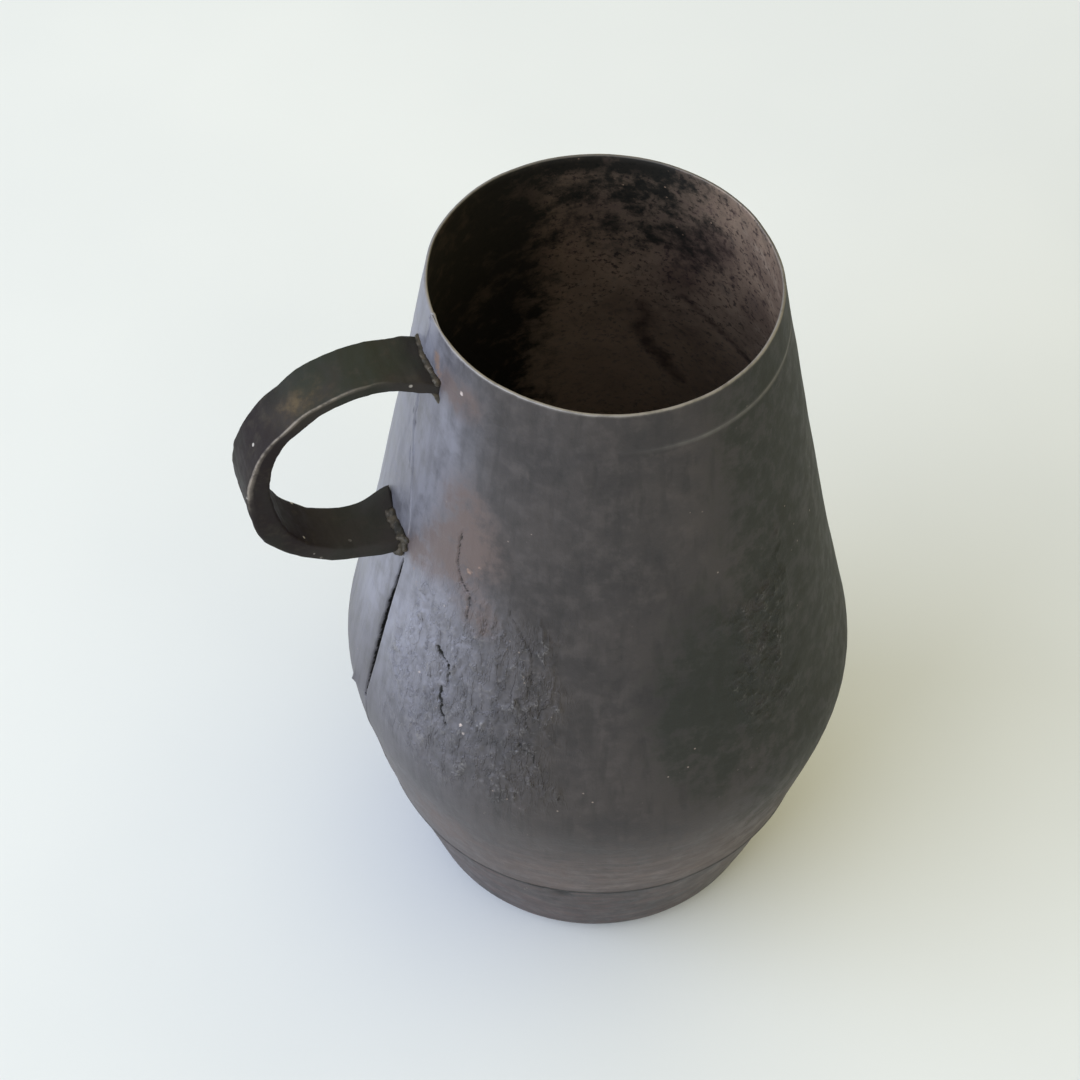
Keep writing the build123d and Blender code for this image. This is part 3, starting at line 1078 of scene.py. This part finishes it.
def solder_heap(name, balls, voxel, smoothing):
    """Balls, each (centre in mm, radius in mm), melted into one closed lump."""
    soft = bmesh.new()
    for centre, radius in balls:
        ball = bmesh.ops.create_icosphere(soft, subdivisions=2, radius=radius * MM)
        bmesh.ops.translate(soft, verts=ball["verts"], vec=Vector(centre) * MM)
    rough_mesh = bpy.data.meshes.new(name + "_balls")
    soft.to_mesh(rough_mesh)
    soft.free()
    heap = bpy.data.objects.new(name, rough_mesh)
    bpy.context.scene.collection.objects.link(heap)
    melt = heap.modifiers.new("melt", "REMESH")
    melt.mode = "VOXEL"
    melt.voxel_size = voxel * MM
    wipe = heap.modifiers.new("wipe", "SMOOTH")
    wipe.iterations = smoothing
    wipe.factor = 0.6
    melted = bpy.data.meshes.new_from_object(heap.evaluated_get(bpy.context.evaluated_depsgraph_get()))
    heap.modifiers.clear()
    heap.data = melted
    bpy.data.meshes.remove(rough_mesh)
    keep_outside(melted)
    melted.polygons.foreach_set("use_smooth", [True] * len(melted.polygons))
    print(f"{name}: {len(melted.vertices)} points")
    return heap


# %% Solder heaps
strap_length = 150


def joint_balls(at_start, radius, reach_out, sides, seed):
    """Balls along both faces of a strap end, close to the wall."""
    pick = np.random.default_rng(seed)
    balls = []
    for through in (0.0, 1.0):
        for side in sides:
            for out in (0.2, 0.9):
                here = np.array(side + pick.uniform(-0.5, 0.5))
                face = np.array(through)
                joint = float(to_wall(here, face, at_start))
                step = (reach_out * out + pick.uniform(0, 0.6)) / strap_length
                point = strap_point(np.array(joint + (step if at_start else -step)), here, face)
                size = radius * (1.25 - 0.45 * out) * pick.uniform(0.8, 1.15)
                balls.append((point.tolist(), size))
    return balls


upper_balls = joint_balls(True, 0.85, 1.2, np.linspace(-7.0, 7.0, 15), 5)
upper_balls += [((-40.2 + 0.25 * k, -7.2 - 0.35 * k, 181.2 - 0.9 * k), 1.25 - 0.12 * k) for k in range(4)]
lower_balls = joint_balls(False, 0.95, 1.6, np.linspace(-6.6, 6.6, 14), 8)
lump_pick = np.random.default_rng(21)
for k in range(30):
    aside = -8.4 + 0.40 * k + lump_pick.uniform(-0.5, 0.5)
    rise = 130.6 + lump_pick.uniform(-1.0, 5.5) * (1 - 0.02 * k) + 0.16 * k
    out = math.sqrt(float(flank_radius(rise, 0)) ** 2 - aside**2) + lump_pick.uniform(-0.3, 0.5)
    lower_balls.append(((-out, aside, rise), lump_pick.uniform(0.8, 1.5) * (1 - 0.012 * k)))
upper_joint = solder_heap("upper_joint", upper_balls, 0.33, 8)
lower_joint = solder_heap("lower_joint", lower_balls, 0.30, 3)

# %% [markdown]
# ## The outer finish: copper gone dark
# Copper that has been heated, handled and kept dry turns almost black, with a dull sheen: the metal is still
# there under a thin oxide. The shader is therefore half metal, in dark greys that wander between brown and
# green, with a bluish painted sheen on the side by the handle. Patches of tone come first, then the painted
# masks, painted light and shade among them, then fine marks, each laid over the last. The wall and the foot
# share the same dark ground and differ in what is laid over it.

# %% Washes of the wall and of the foot
joint_shadow = (0.014, 0.011, 0.010)
bare_edge = (0.30, 0.27, 0.25)


def mask(tree, name):
    """A painted attribute's value."""
    return add_node(tree, "ShaderNodeAttribute", attribute_name=name).outputs["Fac"]


def height_on(tree, place):
    """The height on the object, in metres."""
    return add_node(tree, "ShaderNodeSeparateXYZ", {0: place}).outputs[2]


def wall_washes(tree, level, mottle, grit, streaks, strokes):
    """What age has laid over the wall, and the painted sheen, highlights and shade, from the widest cloud to
    the finest mark.
    """
    ragged = ramp(tree, mottle, 0.3, 0.7, 0.55, 1.35)
    sheen_streaks = times(tree, ramp(tree, streaks, 0.3, 0.6, 0.78, 1.0), ramp(tree, mottle, 0.3, 0.6, 0.7, 1.0))
    blush = times(tree, mask(tree, "blush"), ragged)
    green = times(tree, mask(tree, "green"), ragged)
    brushed = times(tree, mask(tree, "scrub"), ramp(tree, strokes, 0.38, 0.66, 0.4, 1.0))
    # Painted highlight: the flakes' raised edges are painted lighter, as if lit.
    painted_flake_highlight = times(tree, mask(tree, "flake_highlight"), ramp(tree, grit, 0.38, 0.62))
    bare = plus(tree, mask(tree, "copper"), maths(tree, "SUBTRACT", grit, 0.5))
    # Painted shadow: the wall's lowest millimetre, over the joint with the foot, is painted dark.
    line = ramp(tree, level, (band_height + 1.25) * MM, (band_height + 0.75) * MM, 0, 0.95)
    return [
        # Painted sheen of the window light, with pale patches, in a light blue-grey.
        (times(tree, mask(tree, "sheen_and_pale_patches"), sheen_streaks), (0.280, 0.274, 0.318)),
        (ramp(tree, blush, 0.15, 0.95, 0, 0.8), (0.152, 0.108, 0.096)),
        (ramp(tree, green, 0.3, 0.9, 0, 0.85), (0.030, 0.033, 0.027)),
        (brushed, (0.160, 0.120, 0.107)),
        (ramp(tree, painted_flake_highlight, 0.15, 0.9, 0, 0.65), (0.240, 0.225, 0.222)),
        # Painted shade: open cracks and the walls of the slit are painted near black.
        (ramp(tree, mask(tree, "crack_and_slit_shade"), 0.25, 0.7), (0.010, 0.009, 0.008)),
        (ramp(tree, mask(tree, "speck"), 0.35, 0.8), (0.62, 0.52, 0.48)),
        (ramp(tree, bare, 0.35, 0.85, 0, 0.8), (0.36, 0.235, 0.18)),
        (times(tree, mask(tree, "scribe"), ragged), (0.16, 0.15, 0.14)),
        (times(tree, mask(tree, "rim"), ragged), bare_edge),
        (line, joint_shadow),
    ]


def foot_washes(tree, level, strokes):
    """What lies over the foot: the painted shadow of the joint, scrubbed copper, a worn sole and a darker
    patch on the knock.
    """
    return [
        # Painted shadow of the joint, just under the wall's edge.
        (ramp(tree, level, (band_height - 1.2) * MM, (band_height - 0.6) * MM, 0, 0.95), joint_shadow),
        (ramp(tree, strokes, 0.42, 0.65, 0, 0.6), (0.145, 0.086, 0.077)),
        (ramp(tree, level, 3 * MM, -1 * MM), (0.14, 0.115, 0.10)),
        # A darker patch on the knock in the pan's side.
        (ramp(tree, mask(tree, "knock_darkening"), 0.1, 0.8), (0.020, 0.018, 0.018)),
    ]


# %% Outer finish
def dark_copper(name, painted):
    """Dark patina for the body and the foot. painted says that the mesh carries the body's masks."""
    finish, tree, place = start_finish(name)
    level = height_on(tree, place)
    clouds = speckle(tree, place, 45, detail=4)
    mottle = speckle(tree, place, 210, detail=5, rough=0.65)
    grit = speckle(tree, place, 1500, detail=2)
    strokes = speckle(tree, place, 90, detail=5, rough=0.75, stretch=(1, 1, 6), warp=0.3)
    streaks = speckle(tree, place, 420, detail=3, stretch=(1, 1, 0.12))
    ground = blend_colours(tree, ramp(tree, clouds, 0.35, 0.65), (0.045, 0.039, 0.039), (0.060, 0.051, 0.049))
    washes = [
        (ramp(tree, mottle, 0.42, 0.72, 0, 0.7), (0.096, 0.082, 0.078)),
        (ramp(tree, mottle, 0.44, 0.25, 0, 0.45), (0.022, 0.021, 0.021)),
        (ramp(tree, streaks, 0.52, 0.30, 0, 0.3), (0.020, 0.019, 0.019)),
    ]
    rough = ramp(tree, mottle, 0.3, 0.7, 0.42, 0.58)
    relief = plus(tree, times(tree, grit, 0.35), times(tree, mottle, 0.9))
    relief = plus(tree, relief, times(tree, streaks, 0.8))
    if painted:
        washes += wall_washes(tree, level, mottle, grit, streaks, strokes)
        rough = plus(tree, rough, times(tree, mask(tree, "green"), 0.2))
        wandering = speckle(tree, place, 380, detail=3, rough=0.6, stretch=(1, 1, 0.22), warp=0.15)
        from_middle = maths(tree, "ABSOLUTE", maths(tree, "SUBTRACT", wandering, 0.5))
        threads = times(tree, ramp(tree, from_middle, 0.06, 0.0), mask(tree, "patch"))
        relief = plus(tree, relief, times(tree, threads, 1.6))
    else:
        washes += foot_washes(tree, level, strokes)
    sparks = specks(tree, place, 330.0, 0.10, 0.05, ramp(tree, clouds, 0.56, 0.66))
    washes.append((sparks, (0.30, 0.24, 0.21)))
    end_finish(finish, lay_over(tree, ground, washes), rough, relief, 0.7, 0.16, {"Metallic": 0.45})
    return finish


wall_patina = dark_copper("wall_patina", True)
foot_patina = dark_copper("foot_patina", False)

# %% [markdown]
# ## The inner finish
# Inside, the copper was once tinned and has since stained pinkish brown. Shade is painted dark on the side by
# the handle, away from the window light, and deep down, and a dark band runs under the rim. It is duller than
# the outside and speckled all over. The wall's inner faces are given this finish by their place in the mesh:
# every face whose points all belong to the inner skin.

# %% Inner finish
def inner_skin_washes(tree, level, mottle, clouds):
    """What lies over the wall's inner skin: lighter lower down, then stains, painted shade with a dark band
    under the rim, and the bare edge.
    """
    uneven = plus(tree, times(tree, mottle, 1.7), times(tree, clouds, 0.9))
    ragged = maths(tree, "SUBTRACT", uneven, 1.3)
    stain = plus(tree, mask(tree, "stain"), ragged)
    shade_and_dark_band = plus(tree, mask(tree, "shade_and_dark_band"), ragged)
    return [
        (ramp(tree, level, 160 * MM, 100 * MM, 0, 0.5), (0.85, 0.66, 0.51)),
        (ramp(tree, stain, 0.25, 1.1, 0, 0.85), (0.075, 0.042, 0.042)),
        # Painted shade inside, with the dark band under the rim.
        (ramp(tree, shade_and_dark_band, 0.2, 0.95, 0, 0.97), (0.016, 0.017, 0.015)),
        (times(tree, mask(tree, "rim"), 0.9), bare_edge),
    ]


def stained_inside(name, painted):
    """Pinkish brown and speckled, for the faces that look inward, with painted shade on the wall and dark
    clouds on the pan.
    """
    finish, tree, place = start_finish(name)
    clouds = speckle(tree, place, 40, detail=4, rough=0.6)
    mottle = speckle(tree, place, 190, detail=6, rough=0.7)
    grit = speckle(tree, place, 700, detail=3, rough=0.7)
    ground = blend_colours(tree, ramp(tree, clouds, 0.35, 0.65), (0.30, 0.210, 0.158), (0.48, 0.340, 0.248))
    washes = [
        (ramp(tree, mottle, 0.50, 0.72, 0, 0.7), (0.58, 0.44, 0.34)),
        (ramp(tree, mottle, 0.48, 0.30, 0, 0.8), (0.115, 0.075, 0.068)),
        (ramp(tree, grit, 0.47, 0.35, 0, 0.85), (0.050, 0.032, 0.032)),
    ]
    if painted:
        washes += inner_skin_washes(tree, height_on(tree, place), mottle, clouds)
    else:
        washes.append((ramp(tree, clouds, 0.35, 0.6, 0.3, 0.9), (0.03, 0.026, 0.023)))
    sparks = specks(tree, place, 420.0, 0.13, 0.06, ramp(tree, clouds, 0.55, 0.62))
    washes.append((sparks, (0.62, 0.42, 0.30)))
    relief = plus(tree, mottle, times(tree, grit, 0.5))
    end_finish(finish, lay_over(tree, ground, washes), 0.58, relief, 0.6, 0.2, {"Metallic": 0.35})
    return finish


def give_finishes(piece, outer_finish, inner_finish, first_inner):
    """Outer finish everywhere, and the inner one on faces made only of inner points."""
    piece.data.materials.append(outer_finish)
    piece.data.materials.append(inner_finish)
    for face in piece.data.polygons:
        face.material_index = int(min(face.vertices) >= first_inner)
    print(piece.name, "has", sum(face.material_index for face in piece.data.polygons), "inner faces")


give_finishes(wall, wall_patina, stained_inside("wall_inside", True), first_inside)
give_finishes(pan, foot_patina, stained_inside("foot_inside", False), pan_first_inside)

# %% [markdown]
# ## The handle's finish
# The strap is handled more and washed less, so it is browner and greener than the body, and darker, most of
# all where it is gripped. Its front outer corner is rubbed by every hand that lifts the mug, and shows as a
# thin
# light line: worn metal, with a painted highlight on it as well. That line comes from a painted mask of the
# corner, broken by noise where the metal was low.

# %% Handle finish
strap_patina, tree, place = start_finish("strap_patina")
clouds = speckle(tree, place, 60, detail=4)
mottle = speckle(tree, place, 260, detail=5, rough=0.65)
grit = speckle(tree, place, 1400, detail=2)
ground = blend_colours(tree, ramp(tree, clouds, 0.38, 0.62), (0.024, 0.026, 0.019), (0.033, 0.027, 0.024))
grip = times(tree, mask(tree, "grip"), ramp(tree, clouds, 0.3, 0.6, 0.5, 1.0))
golden = times(tree, mask(tree, "golden"), ramp(tree, mottle, 0.4, 0.65, 0.15, 0.75))
# Worn metal on the front outer corner, with a painted highlight: it is painted much lighter than the strap.
worn = times(tree, mask(tree, "edge_wear_and_highlight"), ramp(tree, mottle, 0.35, 0.6, 0.25, 1.0))
tone = lay_over(tree, ground, [
    (grip, (0.012, 0.0065, 0.007)),
    (ramp(tree, mottle, 0.48, 0.75, 0, 0.6), (0.050, 0.042, 0.033)),
    (golden, (0.125, 0.088, 0.048)),
    (worn, (0.36, 0.31, 0.27)),
    (specks(tree, place, 190.0, 0.10, 0.06, ramp(tree, clouds, 0.54, 0.60)), (0.42, 0.38, 0.34)),
])
relief = plus(tree, times(tree, grit, 0.4), mottle)
rough = ramp(tree, mottle, 0.3, 0.7, 0.58, 0.74)
end_finish(strap_patina, tone, rough, relief, 0.5, 0.15, {"Metallic": 0.10, "Specular IOR Level": 0.24})
strap.data.materials.append(strap_patina)

# %% [markdown]
# ## The solder's finish
# Old soft solder is a dull grey that takes on the brown and green of the copper round it, with darker pits
# where flux sat. One recipe makes two finishes, each from three tones: the heaps by the handle are more
# olive, and the ring above the foot is nearly black. What is left of the side seam's solder has gone the
# same colour as the wall, so it wears the wall's finish and the wall's painted masks.

# %% Solder finish
def old_solder(name, dark, light, pale):
    """Pitted grey-brown solder."""
    finish, tree, place = start_finish(name)
    mottle = speckle(tree, place, 330, detail=5, rough=0.65)
    grit = speckle(tree, place, 1300, detail=2)
    tone = blend_colours(tree, ramp(tree, mottle, 0.35, 0.62), dark, light)
    tone = blend_colours(tree, ramp(tree, grit, 0.60, 0.78, 0, 0.7), tone, pale)
    relief = plus(tree, mottle, times(tree, grit, 0.5))
    end_finish(finish, tone, 0.5, relief, 0.7, 0.25, {"Metallic": 0.35})
    return finish


joint_solder = old_solder("joint_solder", (0.024, 0.020, 0.014), (0.085, 0.066, 0.045), (0.22, 0.18, 0.14))
seam_solder = old_solder("seam_solder", (0.014, 0.012, 0.011), (0.032, 0.027, 0.026), (0.09, 0.08, 0.075))
upper_joint.data.materials.append(joint_solder)
lower_joint.data.materials.append(joint_solder)
base_bead.data.materials.append(seam_solder)
# The side seam's bead wears the wall's finish and the wall's painted sheen and shade, so it matches the wall
# around it.
seam_bead.data.materials.append(wall_patina)

# %% [markdown]
# ## Putting the pieces in place of the plain model
# Each piece now takes the place of one part of the CAD frame and rides on the mug's single body.

# %% Hand over
handed_over = (
    (wall, "body_wall", "body_copper"),
    (pan, "base_pan", "pan_copper"),
    (base_bead, "base_seam_solder", "solder"),
    (seam_bead, "side_seam_solder", "solder"),
    (strap, "handle_strap", "strap_copper"),
    (upper_joint, "upper_handle_solder", "solder"),
    (lower_joint, "lower_handle_solder", "solder"),
)
for piece, node, slot_name in handed_over:
    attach(piece, "root")
    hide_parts(node)
